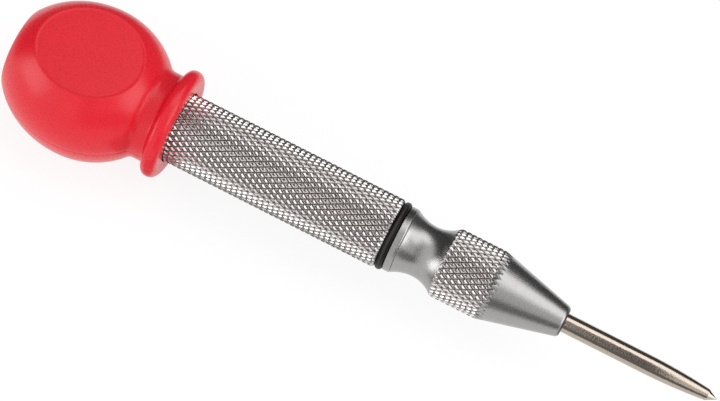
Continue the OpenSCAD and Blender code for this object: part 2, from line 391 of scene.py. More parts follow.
@dataclass(frozen=True)
class LatheMetal:
    """Metal off a lathe: lines round the axis, a fine grain and, on a knurl, painted shade and dirt in the grooves,
    painted shade on the crests and a painted highlight on the flanks.

    Broad lines have their scale and depth as multiples of the fine ones'.
    """

    name: str
    colour: Colour
    shade: Colour
    roughness: float = 0.28
    line_scale: float = 9000.0
    line_depth: float = 0.0015
    broad_scale: float = 0.12
    broad_depth: float = 2.0
    broad_share: float = 0.4
    grain_scale: float = 5000.0
    grain_depth: float = 0.002
    roughness_run: float = 0.1
    knurl_shading_and_dirt: Optional[KnurlShadingAndDirt] = None

    def make(self, axis: Axis) -> Material:
        """Build the material.

        Args:
            axis: The tool's axis, round which the lines run.

        Returns:
            The material.
        """
        material, tree = new_material(self.name)
        x = tree.node("ShaderNodeSeparateXYZ", {}, {0: tree.object_point()}, "X")
        lines = tree.line_noise(x, self.line_scale)
        broad = tree.line_noise(x, self.line_scale * self.broad_scale)
        grain = tree.noise(self.grain_scale, *GRAIN)
        share = broad * self.broad_share + grain * (1 - self.broad_share)
        colour = tree.blend(share, self.shade, self.colour)
        roughness = grain.about(self.roughness, self.roughness_run)
        if self.knurl_shading_and_dirt:
            place = (axis.tip - x) / MM
            radius = tree.distance(axis) / MM
            clean = self.knurl_shading_and_dirt.clean(place, radius)
            # On the knurl only: crests painted darker as shade and flanks painted brighter as a highlight
            metal = tree.blend(self.knurl_shading_and_dirt.crown(radius), self.knurl_shading_and_dirt.painted_flank_highlight, self.knurl_shading_and_dirt.painted_crest_shade)
            colour = tree.blend(self.knurl_shading_and_dirt.knurl_share(place), colour, metal)
            # Grooves darkened with painted shade and dirt, deeper in the groove
            colour = tree.blend(clean, self.knurl_shading_and_dirt.colour, colour)
            roughness = self.knurl_shading_and_dirt.roughness + clean * (roughness - self.knurl_shading_and_dirt.roughness)
        relief = lines * self.line_depth + broad * (self.broad_depth * self.line_depth) + grain * self.grain_depth
        normal = tree.bump(relief, 1.0)
        tree.principled({"Base Color": colour, "Metallic": 1.0, "Roughness": roughness, "Normal": normal})
        return material


@dataclass(frozen=True)
class SealRubber:
    """Black rubber with a painted highlight on its outer round."""

    name: str
    colour: Colour
    painted_highlight: Colour
    crest: float
    run: float = 0.06
    roughness: float = 0.42
    roughness_run: float = 0.1
    specular: float = 0.12
    cloud_scale: float = 900.0
    grain_scale: float = 7000.0
    grain_depth: float = 0.004

    def make(self, axis: Axis) -> Material:
        """Build the material.

        Args:
            axis: The tool's axis.

        Returns:
            The material.
        """
        material, tree = new_material(self.name)
        cloud = tree.noise(self.cloud_scale, detail=3.0)
        grain = tree.noise(self.grain_scale)
        # Painted highlight along the ring's outer round, broken up by noise
        rise = tree.distance(axis) / MM - (self.crest - self.run)
        highlight_share = (rise / self.run).clamped() * (0.5 + cloud)
        tree.principled(
            {
                "Base Color": tree.blend(highlight_share.at_most(1.0), self.colour, self.painted_highlight),
                "Roughness": cloud.about(self.roughness, self.roughness_run),
                "Specular IOR Level": self.specular,
                "Normal": tree.bump(grain, self.grain_depth),
            }
        )
        return material


Finish = Union[MouldedPlastic, LatheMetal, SealRubber]


# Turned forms


@dataclass(frozen=True)
class Axis:
    """The tool's axis in the frame, in metres."""

    tip: float
    height: float

    @classmethod
    def from_frame(cls) -> Axis:
        """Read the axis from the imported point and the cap's flats."""
        low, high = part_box("palm_cap")
        return cls(tip=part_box("punch_point")[1].x, height=(low.z + high.z) / 2)

    def point(self, place: float, radius: float, angle: float) -> Vector:
        """A point in metres, by its distances from tip and axis and its angle in radians from +Y to +Z."""
        return self.beside(place, radius * math.cos(angle), radius * math.sin(angle))

    def beside(self, place: float, aside: float, above: float) -> Vector:
        """A point in metres, by its distance from the tip and its two distances from the axis."""
        return Vector((self.tip - place * MM, aside * MM, self.height + above * MM))

    def span(self, node: str) -> Point:
        """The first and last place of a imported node."""
        low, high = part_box(node)
        return (self.tip - high.x) / MM, (self.tip - low.x) / MM


class Ring(NamedTuple):
    """One ring of a turned piece. The step numbers its place on the knurl's grid."""

    place: float
    radius: float
    knurled: bool = False
    step: Optional[int] = None


@dataclass(frozen=True)
class Knurl:
    """A diamond knurl: grooves of both hands, with a small flat land on each crest."""

    crest: float
    starts: int = 36
    pitch: float = 2.19
    depth: float = 0.42
    land: float = 0.75
    cuts: int = 8

    @property
    def segments(self) -> int:
        """Steps of the mesh round the axis."""
        return self.starts * self.cuts

    @staticmethod
    def _slope(turn: float) -> float:
        """Height of one groove's flank, from 0 in the groove to 1 half a pitch away."""
        return 1 - abs(2 * (turn - math.floor(turn)) - 1)

    def radius(self, place: float, angle: float) -> float:
        """Radius that the knurling wheels leave.

        Args:
            place: Distance from the tip.
            angle: Angle round the axis in radians.

        Returns:
            The radius.
        """
        turn = angle / math.tau * self.starts
        run = place / self.pitch
        rise = min(self._slope(turn + run), self._slope(turn - run), self.land)
        return self.crest - self.depth * (1 - rise / self.land)

    def steps(self, start: float, end: float) -> list[tuple[int, float]]:
        """Numbers and places of the mesh's rings between two places."""
        step = self.pitch / self.cuts
        return [(i, i * step) for i in range(math.floor(start / step) + 1, math.ceil(end / step))]


@dataclass
class Outline:
    """The section of a turned piece, drawn ring by ring."""

    rings: list[Ring] = field(default_factory=list)

    def to(self, place: float, radius: float, steps: int = 1) -> Outline:
        """Run straight to a point in equal steps.

        Args:
            place: Distance from the tip.
            radius: Distance from the axis.
            steps: Rings along the way.

        Returns:
            This outline.
        """
        last = self.rings[-1]
        for i in range(1, steps + 1):
            share = i / steps
            self.rings.append(
                Ring(last.place + (place - last.place) * share, last.radius + (radius - last.radius) * share)
            )
        return self

    def arc(self, centre: Point, radius: float, start: float, end: float, steps: int) -> Outline:
        """Run along an arc.

        Args:
            centre: Place and radius of the arc's centre.
            radius: The arc's own radius.
            start: First angle in degrees: 0 points away from the axis, 90 towards the cap.
            end: Last angle.
            steps: Rings along the arc.

        Returns:
            This outline.
        """
        for i in range(steps + 1):
            angle = math.radians(start + (end - start) * i / steps)
            self.rings.append(Ring(centre[0] + radius * math.sin(angle), centre[1] + radius * math.cos(angle)))
        return self

    def bite(self, first: int, last: int) -> None:
        """Let the knurl bite into the rings from one to another, counted from the end."""
        for i in range(first, last + 1):
            self.rings[i] = self.rings[i]._replace(knurled=True)

    def knurled_to(self, knurl: Knurl, place: float, radius: float) -> Outline:
        """Run straight to a point over a stretch that the knurl bites into.

        Args:
            knurl: The knurl.
            place: Distance from the tip.
            radius: Distance from the axis.

        Returns:
            This outline.
        """
        last = self.rings[-1]
        self.bite(-1, -1)
        slope = (radius - last.radius) / (place - last.place)
        for step, middle in knurl.steps(last.place, place):
            self.rings.append(Ring(middle, last.radius + slope * (middle - last.place), True, step))
        self.rings.append(Ring(place, radius, True))
        return self


def strip(first: Sequence[int], second: Sequence[int], closed: bool = True) -> list[Face]:
    """Faces between two rows of points, by their numbers. A closed row ends where it starts."""
    steps = [(i, (i + 1) % len(first)) for i in range(len(first) - (0 if closed else 1))]
    return [(first[i], first[n], second[n], second[i]) for i, n in steps]


def add_mesh(name: str, points: Sequence[Vector], faces: Sequence[Face], sharp: float = SHARP_ANGLE) -> Thing:
    """Make an object from points and faces.

    Args:
        name: Name of the piece.
        points: Places in metres.
        faces: Corners of each face.
        sharp: Angle in degrees from which an edge stays sharp.

    Returns:
        The object.
    """
    mesh = bpy.data.meshes.new(name)
    mesh.from_pydata([tuple(p) for p in points], [], faces)
    work = bmesh.new()
    work.from_mesh(mesh)
    bmesh.ops.remove_doubles(work, verts=work.verts, dist=MERGE_DISTANCE)
    bmesh.ops.recalc_face_normals(work, faces=work.faces)
    work.to_mesh(mesh)
    work.free()
    mesh.shade_smooth()
    mesh.set_sharp_from_angle(angle=math.radians(sharp))
    piece = bpy.data.objects.new(name, mesh)
    bpy.context.scene.collection.objects.link(piece)
    return piece


def turn(
    name: str,
    axis: Axis,
    outline: Outline,
    segments: int,
    knurl: Optional[Knurl] = None,
    closed: bool = True,
    sharp: float = SHARP_ANGLE,
) -> Thing:
    """Turn an outline round the axis.

    Args:
        name: Name of the piece.
        axis: The tool's axis.
        outline: The section.
        segments: Steps round the axis.
        knurl: The knurl, where the outline has one.
        closed: Whether the last ring joins the first.
        sharp: Angle in degrees from which an edge stays sharp.

    Returns:
        The piece.
    """
    rings = outline.rings
    points: list[Vector] = []
    for ring in rings:
        for i in range(segments):
            angle = math.tau * i / segments
            radius = ring.radius
            if ring.knurled and knurl:
                radius = min(radius, knurl.radius(ring.place, angle))
            points.append(axis.point(ring.place, radius, angle))
    faces: list[Face] = []
    pairs = list(zip(range(len(rings) - 1), range(1, len(rings))))
    if closed:
        pairs.append((len(rings) - 1, 0))
    for j, k in pairs:
        for i in range(segments):
            n = (i + 1) % segments
            a, b, c, d = j * segments + i, j * segments + n, k * segments + n, k * segments + i
            step = rings[j].step
            if knurl and step is not None and (i + step + 1) % knurl.cuts == 0:
                faces += [(a, b, d), (b, c, d)]
            elif knurl and step is not None and (i - step) % knurl.cuts == 0:
                faces += [(a, b, c), (a, c, d)]
            else:
                faces.append((a, b, c, d))
    return add_mesh(name, points, faces, sharp)


def dress(piece: Thing, material: Material, slot: Slot, node: str, body: Optional[Body] = None) -> None:
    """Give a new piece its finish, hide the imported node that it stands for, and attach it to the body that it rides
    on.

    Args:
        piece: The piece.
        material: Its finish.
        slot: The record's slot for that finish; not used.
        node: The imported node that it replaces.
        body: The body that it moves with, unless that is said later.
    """
    piece.data.materials.clear()
    piece.data.materials.append(material)
    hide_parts(node)
    if body:
        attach(piece, body.value)
    log.info("%s: %d faces", piece.name, len(piece.data.polygons))


# Sub-assemblies


@dataclass
class PalmCap:
    """The moulded palm cap: a ball with two dished flats, a groove and a collar."""

    axis: Axis
    material: Material
    ball_rear: float = 17.5
    end_d: float = 15.2
    end_round: float = 0.7
    collar_d: float = 22.2
    collar_w: float = 3.1
    front_round: float = 1.6
    rear_round: float = 1.2
    neck_round: float = 0.85
    neck_w: float = 2.4
    neck_fillet: float = 0.9
    bore_d: float = 14.3
    bore_round: float = 0.2
    screw_d: float = 14.8
    screw_place: float = 10.7
    pocket_place: float = 28.2
    edge_round: float = 0.12
    lip_w: float = 0.38
    dish_depth: float = 0.05
    dish_run: float = 0.14
    crease: float = 0.04
    seam_w: float = 0.14
    seam_depth: float = 0.05
    seam_margin: float = 1.0
    side_steps: int = 96
    edge_steps: int = 4
    ball_steps: int = 26
    lead_steps: int = 10
    round_steps: int = 8
    sharp: float = 50.0
    slack: float = 1e-6

    def __post_init__(self) -> None:
        """Read the cap's ends and flats from the frame, and work out what follows from the sizes."""
        low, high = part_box("palm_cap")
        self.front, self.end = self.axis.span("palm_cap")
        self.flat = (high.z - low.z) / 2 / MM
        self.ball_r = (high.y - low.y) / 2 / MM
        self.tail_share = math.sqrt(1 - (self.end_d / 2 / self.ball_r) ** 2)
        self.ball = self.end - self.ball_rear * self.tail_share
        self.neck_r = self.collar_d / 2 - self.rear_round - self.neck_round
        start = math.asin(self.neck_r / self.ball_r)
        groove_end = self.front + self.collar_w + self.neck_round + self.neck_w
        self.ball_front = (self.ball - groove_end) / math.cos(start)
        self.flat_share = math.sqrt(1 - (self.flat / self.ball_r) ** 2)

    def _ball_point(self, cosine: float) -> Ring:
        """A ring of the ball, from the cosine of its polar angle: 1 at the front and -1 at the end."""
        reach = self.ball_front if cosine > 0 else self.ball_rear
        return Ring(self.ball - reach * cosine, self.ball_r * math.sqrt(max(0.0, 1 - cosine * cosine)))

    def _outline(self) -> Outline:
        """Draw the cap's section, from the end over the outside and back along the inside.

        Returns:
            The outline.
        """
        tip = math.acos(self.flat_share)
        steps = self.ball_steps
        corner = (self.end, self.end_d / 2)
        edge = math.acos(self.tail_share) + self.end_round / self.ball_r
        outline = Outline([Ring(self.end, 0.0)]).to(self.end, corner[1] - self.end_round, 4)
        last = self._ball_point(-math.cos(edge))
        self._blend(outline, corner, (last.place, last.radius))
        rear = [-math.cos(edge + (tip - edge) * i / steps) for i in range(steps)]
        middle = [-self.flat_share * math.cos(math.pi * i / (2 * steps)) for i in range(2 * steps + 1)]
        blend = math.asin(self.neck_r / self.ball_r) + self.neck_fillet / self.ball_r
        lead = [math.cos(tip + (blend - tip) * i / self.lead_steps) for i in range(1, self.lead_steps + 1)]
        outline.rings += [self._ball_point(c) for c in rear + middle + lead]
        collar_r, groove = self.collar_d / 2, self.front + self.collar_w
        corner = (groove + self.neck_round + self.neck_w, self.neck_r)
        self._blend(outline, corner, (corner[0] - self.neck_fillet, self.neck_r))
        outline.to(corner[0] - self.neck_fillet, self.neck_r)
        outline.arc((groove + self.neck_round, self.neck_r + self.neck_round), self.neck_round, 180, 270, 8)
        outline.arc((groove - self.rear_round, collar_r - self.rear_round), self.rear_round, 90, 0, 8)
        outline.arc((self.front + self.front_round, collar_r - self.front_round), self.front_round, 0, -90, 10)
        bore_r, edge = self.bore_d / 2, self.bore_round
        outline.arc((self.front + edge, bore_r + edge), edge, -90, -180, 4)
        screw, pocket = self.front + self.screw_place, self.front + self.pocket_place
        outline.to(screw, bore_r, 4).to(screw, self.screw_d / 2).to(pocket, self.screw_d / 2, 6)
        return outline.to(pocket, 0.0)

    def _blend(self, outline: Outline, corner: Point, end: Point) -> None:
        """Round a corner of the section.

        Args:
            outline: The section so far, which ends before the corner.
            corner: The sharp corner.
            end: The point after the corner, which is left to the next stretch.
        """
        first = outline.rings[-1]
        for i in range(1, self.round_steps):
            t = i / self.round_steps
            weights = ((1 - t) ** 2, 2 * t * (1 - t), t * t)
            place = weights[0] * first.place + weights[1] * corner[0] + weights[2] * end[0]
            radius = weights[0] * first.radius + weights[1] * corner[1] + weights[2] * end[1]
            outline.rings.append(Ring(place, radius))

    def _half_ring(self, ring: Ring, side: int) -> list[Vector]:
        """One side of a ring, from the upper flat to the lower one.

        Args:
            ring: Place and radius.
            side: 1 for +Y and -1 for -Y.

        Returns:
            Points in metres.
        """
        r, rho = ring.radius, self.edge_round
        inner = max(r - rho, self.flat - rho)
        start = math.asin(min(1.0, (self.flat - rho) / inner)) if r > self.flat else math.pi / 2
        centre = (inner * math.cos(start), inner * math.sin(start))
        top: list[Point] = []
        for i in range(self.edge_steps):
            angle = math.pi / 2 + (start - math.pi / 2) * i / self.edge_steps
            if r > self.flat:
                top.append((centre[0] + rho * math.cos(angle), centre[1] + rho * math.sin(angle)))
            else:
                top.append((0.0, r))
        sweep: list[Point] = []
        half = self.side_steps // 2
        for i in range(self.side_steps + 1):
            angle = start * (1 - i / half)
            radius = r
            if abs(i - half) == 1:
                angle = math.copysign(min(abs(angle), self.seam_w / max(r, self.seam_w)), half - i)
            elif i == half and r > self.bore_d / 2 + self.seam_margin:
                radius = r - self.seam_depth
            sweep.append((radius * math.cos(angle), radius * math.sin(angle)))
        bottom = [(y, -z) for y, z in reversed(top)]
        return [self.axis.beside(ring.place, side * y, z) for y, z in top + sweep + bottom]

    def _flat_rings(self, loop: list[Vector], side: int) -> list[list[Vector]]:
        """The lip and the dish inside a flat's edge.

        Args:
            loop: The flat's edge.
            side: 1 for the upper flat and -1 for the lower one.

        Returns:
            Rings of points, from the edge inwards.
        """
        middle = self.axis.beside(self.ball, 0.0, side * self.flat)
        lip, foot, crease = self.lip_w, self.lip_w + self.dish_run, self.crease
        # Distance from the edge, and the share of the dish's depth there
        insets = [(crease, 0.0), (lip - crease, 0.0), (lip, 0.08), (lip + crease, 0.35)]
        insets += [(foot - crease, 0.9), (foot, 1.0), (foot + crease, 1.0)]
        rings = [loop]
        for inset, share in insets:
            drop = Vector((0, 0, -side * share * self.dish_depth * MM))
            rings.append([p + (middle - p).normalized() * inset * MM + drop for p in loop])
        floor = rings[-1]
        sunk = middle + Vector((0, 0, -side * self.dish_depth * MM))
        for share in (0.75, 0.5, 0.25):
            rings.append([sunk + (p - sunk) * share for p in floor])
        return rings + [[sunk] * len(loop)]

    def build(self) -> None:
        """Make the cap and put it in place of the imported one."""
        rings = self._outline().rings
        points: list[Vector] = []
        faces: list[Face] = []
        tops: dict[tuple[int, int], list[int]] = {(1, 1): [], (1, -1): [], (-1, 1): [], (-1, -1): []}
        for side in (1, -1):
            first = len(points)
            for ring in rings:
                row = self._half_ring(ring, side)
                if ring.radius >= self.flat - self.slack:
                    tops[1, side].append(len(points))
                    tops[-1, side].append(len(points) + len(row) - 1)
                points += row
            width = len(row)
            for start in range(first, len(points) - width, width):
                faces += strip(range(start, start + width), range(start + width, start + 2 * width), False)
        for level in (1, -1):
            loop = tops[level, 1] + tops[level, -1][-2:0:-1]
            shrunk = self._flat_rings([points[i] for i in loop], level)
            previous = loop
            for ring_points in shrunk[1:]:
                current = list(range(len(points), len(points) + len(loop)))
                points += ring_points
                faces += strip(previous, current)
                previous = current
        piece = add_mesh("palm_cap_moulding", points, faces, self.sharp)
        dress(piece, self.material, Slot.CAP, "palm_cap", Body.CAP)


@dataclass
class Barrel:
    """The knurled barrel with its bores and the thread's neck."""

    axis: Axis
    material: Material
    knurl: Knurl
    bevel: float = 0.4
    knurl_hidden: float = 3.0
    land_r: float = 6.7
    shoulder_behind: float = 8.4
    neck_r: float = 5.6
    neck_bevel: float = 0.4
    bore_r: float = 4.75
    trip_r: float = 5.3
    trip_place: float = 37.3
    trip_length: float = 1.0
    counterbore_r: float = 5.8
    counterbore: float = 10.7

    def build(self) -> None:
        """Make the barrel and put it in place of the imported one."""
        front, end = self.axis.span("barrel")
        cap = self.axis.span("palm_cap")[0]
        crest = self.knurl.crest
        outline = Outline([Ring(front, self.counterbore_r)])
        outline.to(front, crest - self.bevel, 2)
        outline.knurled_to(self.knurl, front + self.bevel, crest)
        outline.knurled_to(self.knurl, cap + self.knurl_hidden, crest)
        outline.knurled_to(self.knurl, cap + self.knurl_hidden + crest - self.land_r, self.land_r)
        shoulder = cap + self.shoulder_behind
        outline.to(shoulder, self.land_r, 3).to(shoulder, self.neck_r).to(end - self.neck_bevel, self.neck_r, 8)
        outline.to(end, self.neck_r - self.neck_bevel).to(end, self.bore_r)
        trip = front + self.trip_place
        outline.to(trip + self.trip_length, self.bore_r, 10).to(trip, self.trip_r)
        ledge = front + self.counterbore
        outline.to(ledge, self.trip_r, 10).to(ledge, self.counterbore_r).to(front, self.counterbore_r, 4)
        outline.rings.pop()
        piece = turn("barrel_knurled", self.axis, outline, self.knurl.segments, self.knurl)
        dress(piece, self.material, Slot.STEEL, "barrel", Body.BARREL)


@dataclass
class NosePiece:
    """The nose: a cone, a knurled band, a waist, a flange and the spigot that screws into the barrel."""

    axis: Axis
    material: Material
    knurl: Knurl
    cone_length: float = 15.6
    cone_end_r: float = 3.25
    cone_round: float = 1.0
    band_length: float = 9.4
    waist_length: float = 8.2
    waist_place: float = 4.3
    waist_r: float = 5.2
    flange_r: float = 6.55
    flange_w: float = 1.9
    edge: float = 0.15
    lip_w: float = 0.25
    lip_drop: float = 0.16
    lip_round: float = 0.35
    line_w: float = 0.1
    line_depth: float = 0.06
    line_rise: Point = (0.05, 0.02)
    groove_r: float = 5.35
    groove_w: float = 1.6
    spigot_r: float = 5.75
    spigot_bevel: float = 0.3
    chamber_r: float = 3.65
    guide_r: float = 2.15
    guide_length: float = 13.5
    bite: float = 1.6
    waist_steps: int = 24
    bitten_steps: int = 4
    flare_steps: int = 22

    @staticmethod
    def _sweep(outline: Outline, start: Point, end: Point, middle: Point, steps: int) -> None:
        """Run along one side of the waist, on the arc that is level at its narrowest place.

        Args:
            outline: The section so far.
            start: First point.
            end: Last point.
            middle: The narrowest place.
            steps: Rings along the arc.
        """
        far = start if end == middle else end
        run, drop = abs(far[0] - middle[0]), far[1] - middle[1]
        radius = (run * run + drop * drop) / (2 * drop)
        for i in range(1, steps + 1):
            place = start[0] + (end[0] - start[0]) * i / steps
            rise = radius - math.sqrt(radius * radius - (place - middle[0]) ** 2)
            outline.rings.append(Ring(place, middle[1] + rise))

    def build(self) -> None:
        """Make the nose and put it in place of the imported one."""
        front, end = self.axis.span("nose_piece")
        crest, band = self.knurl.crest, front + self.cone_length
        waist, slope = band + self.band_length, (crest - self.cone_end_r) / self.cone_length
        lean = math.degrees(math.atan(slope))
        outline = Outline([Ring(front, self.guide_r)])
        centre = (front + self.cone_round, self.cone_end_r - self.cone_round)
        outline.arc(centre, self.cone_round, -90, -lean, 10)
        outline.to(band - self.bite, crest - slope * self.bite, 24)
        outline.knurled_to(self.knurl, band, crest)
        outline.knurled_to(self.knurl, waist - self.edge, crest)
        narrow, flange = (waist + self.waist_place, self.waist_r), waist + self.waist_length
        top = (waist, crest - self.edge)
        outline.to(*top)
        self._sweep(outline, top, narrow, narrow, self.waist_steps)
        corner = -self.waist_steps - 1
        outline.bite(corner, corner + self.bitten_steps)
        lip = (flange + self.lip_w, self.flange_r - self.lip_drop)
        self._sweep(outline, narrow, lip, narrow, self.flare_steps)
        line = lip[0] + self.line_w
        outline.to(line, lip[1] - self.line_depth).to(line + self.line_rise[0], lip[1] + self.line_rise[1])
        outline.arc((line + self.lip_round, self.flange_r - self.lip_round), self.lip_round, -60, 0, 6)
        groove = flange + self.flange_w
        outline.to(groove - self.edge, self.flange_r, 3).to(groove, self.flange_r - self.edge)
        outline.to(groove, self.groove_r).to(groove + self.groove_w, self.groove_r)
        outline.to(groove + self.groove_w, self.spigot_r).to(end - self.spigot_bevel, self.spigot_r, 4)
        outline.to(end, self.spigot_r - self.spigot_bevel).to(end, self.chamber_r)
        step = front + self.guide_length
        outline.to(step, self.chamber_r, 8).to(step, self.guide_r).to(front, self.guide_r, 4)
        outline.rings.pop()
        piece = turn("nose_turned", self.axis, outline, self.knurl.segments, self.knurl)
        dress(piece, self.material, Slot.STEEL, "nose_piece", Body.BARREL)


@dataclass
class PunchPoint:
    """The point: a conical tip, a long rounded taper, the shank, and the collar that stops it in the nose."""

    axis: Axis
    material: Material
    tip_r: float = 1.15
    tip_angle: float = 60.0
    taper: float = 13.0
    shank_r: float = 1.9
    guide_r: float = 2.1
    collar_r: float = 3.5
    collar_w: float = 3.2
    collar_bevel: float = 0.2
    socket_r: float = 1.0
    socket_depth: float = 5.8
    segments: int = 128

    def build(self) -> None:
        """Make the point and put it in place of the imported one."""
        end = self.axis.span("punch_point")[1]
        nose = self.axis.span("nose_piece")[0]
        tip = self.tip_r / math.tan(math.radians(self.tip_angle / 2))
        drop = self.shank_r - self.tip_r
        bend = (self.taper * self.taper + drop * drop) / (2 * drop)
        sweep = math.degrees(math.asin(self.taper / bend))
        outline = Outline([Ring(0.0, 0.0)]).to(tip, self.tip_r, 6)
        outline.rings.pop()
        outline.arc((tip + self.taper, self.shank_r - bend), bend, -sweep, 0, 36)
        step, bevel = end - self.collar_w, self.collar_bevel
        outline.to(nose, self.shank_r, 20).to(nose, self.guide_r).to(step, self.guide_r, 8)
        outline.to(step, self.collar_r - bevel).to(step + bevel, self.collar_r).to(end - bevel, self.collar_r, 2)
        outline.to(end, self.collar_r - bevel).to(end, self.socket_r)
        outline.to(end - self.socket_depth, self.socket_r, 3).to(end - self.socket_depth, 0.0)
        piece = turn("point_ground", self.axis, outline, self.segments, closed=False)
        dress(piece, self.material, Slot.NICKEL, "punch_point", Body.POINT)


@dataclass
class SealRing:
    """The rubber ring between nose and barrel, with the moulding's flash line."""

    axis: Axis
    material: Material
    segments: int = 144
    wire_steps: int = 32
    flash: float = 0.03
    sharp: float = 80.0

    def build(self) -> None:
        """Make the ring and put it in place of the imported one."""
        front, end = self.axis.span("o_ring")
        low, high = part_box("o_ring")
        wire = (end - front) / 2
        middle = (high.z - low.z) / 2 / MM - wire
        outline = Outline()
        for i in range(self.wire_steps):
            angle = math.tau * i / self.wire_steps
            radius = wire - (self.flash if i % (self.wire_steps // 2) == 0 else 0.0)
            outline.rings.append(
                Ring((front + end) / 2 + radius * math.sin(angle), middle + radius * math.cos(angle))
            )
        piece = turn("seal_ring", self.axis, outline, self.segments, sharp=self.sharp)
        dress(piece, self.material, Slot.RUBBER, "o_ring", Body.BARREL)


@dataclass
class CoilSpring:
    """A round-wire compression spring that stands in for a packed one.

    Where the foot itself moves, the first turns are made as a separate tail.
    """

    material: Material
    node: str
    body: Body
    joint: str
    travel: float
    wire: float
    coils: int
    run: Vector
    across: Vector
    foot_body: Optional[Body] = None
    tail_turns: int = 0
    closed_ends: bool = True
    coil_steps: int = 48
    wire_steps: int = 12
    sharp: float = 60.0

    def __post_init__(self) -> None:
        """Read the spring's foot, height and radius from the frame, in metres."""
        low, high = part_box(self.node)
        size = high - low
        self.side = self.run.cross(self.across)
        self.height = abs(size.dot(self.run))
        self.foot = (low + high) / 2 - self.run * self.height / 2
        self.radius = (max(abs(size.dot(d)) for d in (self.across, self.side)) - self.wire * MM) / 2

    def _rise(self, turns: float) -> float:
        """Height of the wire's middle above the spring's foot.

        Args:
            turns: Turns from the foot.

        Returns:
            The height in metres.
        """
        wire = self.wire * MM
        free = self.height - wire
        if not self.closed_ends:
            return wire / 2 + free * turns / self.coils
        pitch = (free - 2 * wire) / (self.coils - 2)
        lower = min(turns, 1.0) * wire
        upper = max(turns - self.coils + 1, 0.0) * wire
        return wire / 2 + lower + upper + min(max(turns - 1, 0.0), self.coils - 2) * pitch

    def _stretch(self, name: str, first: int, last: int) -> Thing:
        """Make the wire between two turns.

        Args:
            name: Name of the piece.
            first: Turn at which it starts.
            last: Turn at which it ends.

        Returns:
            The piece.
        """
        wire, count = self.wire * MM / 2, self.wire_steps
        points: list[Vector] = []
        rings = (last - first) * self.coil_steps
        for i in range(rings + 1):
            turns = first + i / self.coil_steps
            angle = math.tau * turns
            out = self.across * math.cos(angle) + self.side * math.sin(angle)
            centre = self.foot + self.run * self._rise(turns) + out * self.radius
            for k in range(count):
                around = math.tau * k / count
                points.append(centre + out * wire * math.cos(around) + self.run * wire * math.sin(around))
        rows = [range(i * count, (i + 1) * count) for i in range(rings + 1)]
        faces: list[Face] = []
        for row, following in zip(rows, rows[1:]):
            faces += strip(row, following)
        faces += [tuple(rows[0]), tuple(rows[-1])]
        piece = add_mesh(name, points, faces, self.sharp)
        dress(piece, self.material, Slot.SPRING, self.node)
        return piece

    def build(self) -> None:
        """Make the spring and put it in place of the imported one."""
        anchor = self.foot
        if self.foot_body:
            anchor = self.foot + self.run * self._rise(self.tail_turns)
            tail = self._stretch(f"{self.node}_tail", 0, self.tail_turns)
            tuple(anchor)
            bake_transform(tail)
            log.info("%s: between %s and %s", tail.name, self.body.value, self.foot_body.value)
        piece = self._stretch(f"{self.node}_coil", self.tail_turns, self.coils)
        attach(piece, self.body.value)
        tuple(self.run)
        tuple(anchor)
        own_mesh(piece)
        log.info("%s: pressed by %s", piece.name, self.joint)


@dataclass
class Works:
    """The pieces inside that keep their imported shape."""

    nodes: dict[str, Thing]
    finishes: dict[Slot, Material]

    def build(self) -> None:
        """Give each piece its finish."""
        slots = {
            "adjusting_cap": Slot.STEEL,
            "spring_seat": Slot.HARD,
            "hammer": Slot.HARD,
            "drive_pin": Slot.HARD,
            "sear_block": Slot.BRASS,
            "guide_bush": Slot.BRASS,
        }
        for node, slot in slots.items():
            piece = self.nodes[node]
            for held in piece.material_slots:
                held.material = self.finishes[slot]
            log.info("%s: %s", node, slot.value)


# Studio


def heading(side: float, lean: float) -> Vector:
    """A unit vector, by degrees from straight up, round the axis away from the camera, and then towards the point."""
    s, t = math.radians(side), math.radians(lean)
    return Vector((math.sin(t), math.cos(t) * math.sin(s), math.cos(t) * math.cos(s)))


def turned_to(way: Vector) -> Quaternion:
    """A rotation whose -Z looks along a direction, with X level."""
    return way.to_track_quat("-Z", "Y")


@dataclass(frozen=True)
class Hung:
    """A lamp or card that hangs round the tool, at angles as a heading has them and a distance in metres."""

    name: str
    side: float
    lean: float
    distance: float
    width: float
    height: float
    level: float

    def face(self, thing: Thing, target: Vector) -> None:
        """Place the lamp or card so that it faces a target.

        Args:
            thing: The lamp or card.
            target: What it faces.
        """
        way = heading(self.side, self.lean)
        thing.location = target + way * self.distance
        thing.rotation_mode = "QUATERNION"
        thing.rotation_quaternion = turned_to(-way)


@dataclass(frozen=True)
class Softbox(Hung):
    """A broad lamp that lights the tool and may show in reflections. Its level is its radiance."""

    shows: bool = True

    def hang(self, target: Vector) -> None:
        """Place the lamp.

        Args:
            target: What it looks at.
        """
        lamp = bpy.data.lights.new(self.name, "AREA")
        lamp.shape = "RECTANGLE"
        lamp.size, lamp.size_y = self.width, self.height
        lamp.energy = self.level * math.pi * self.width * self.height
        holder = bpy.data.objects.new(self.name, lamp)
        self.face(holder, target)
        holder.visible_camera = False
        holder.visible_glossy = self.shows
        bpy.context.scene.collection.objects.link(holder)


@dataclass(frozen=True)
class DarkCard(Hung):
    """A card that shows in reflections only, darker than the ground, as a studio's unlit sides are."""

    foot: float = 0.0

    def hang(self, target: Vector) -> None:
        """Place the card.

        Args:
            target: The middle of the tool's axis. The card faces a foot on that axis.
        """
        x, y = self.width / 2, self.height / 2
        corners = [Vector((sx * x, sy * y, 0)) for sx, sy in ((-1, -1), (1, -1), (1, 1), (-1, 1))]
        card = add_mesh(self.name, corners, [(0, 1, 2, 3)])
        self.face(card, target + Vector((self.foot * MM, 0, 0)))
        material, tree = new_material(self.name)
        tree.surface(tree.node("ShaderNodeEmission", {}, {"Color": (self.level,) * 3 + (1.0,), "Strength": 1.0}))
        card.data.materials.append(material)
        card.visible_camera = card.visible_diffuse = card.visible_shadow = False
        card.visible_transmission = card.visible_volume_scatter = False


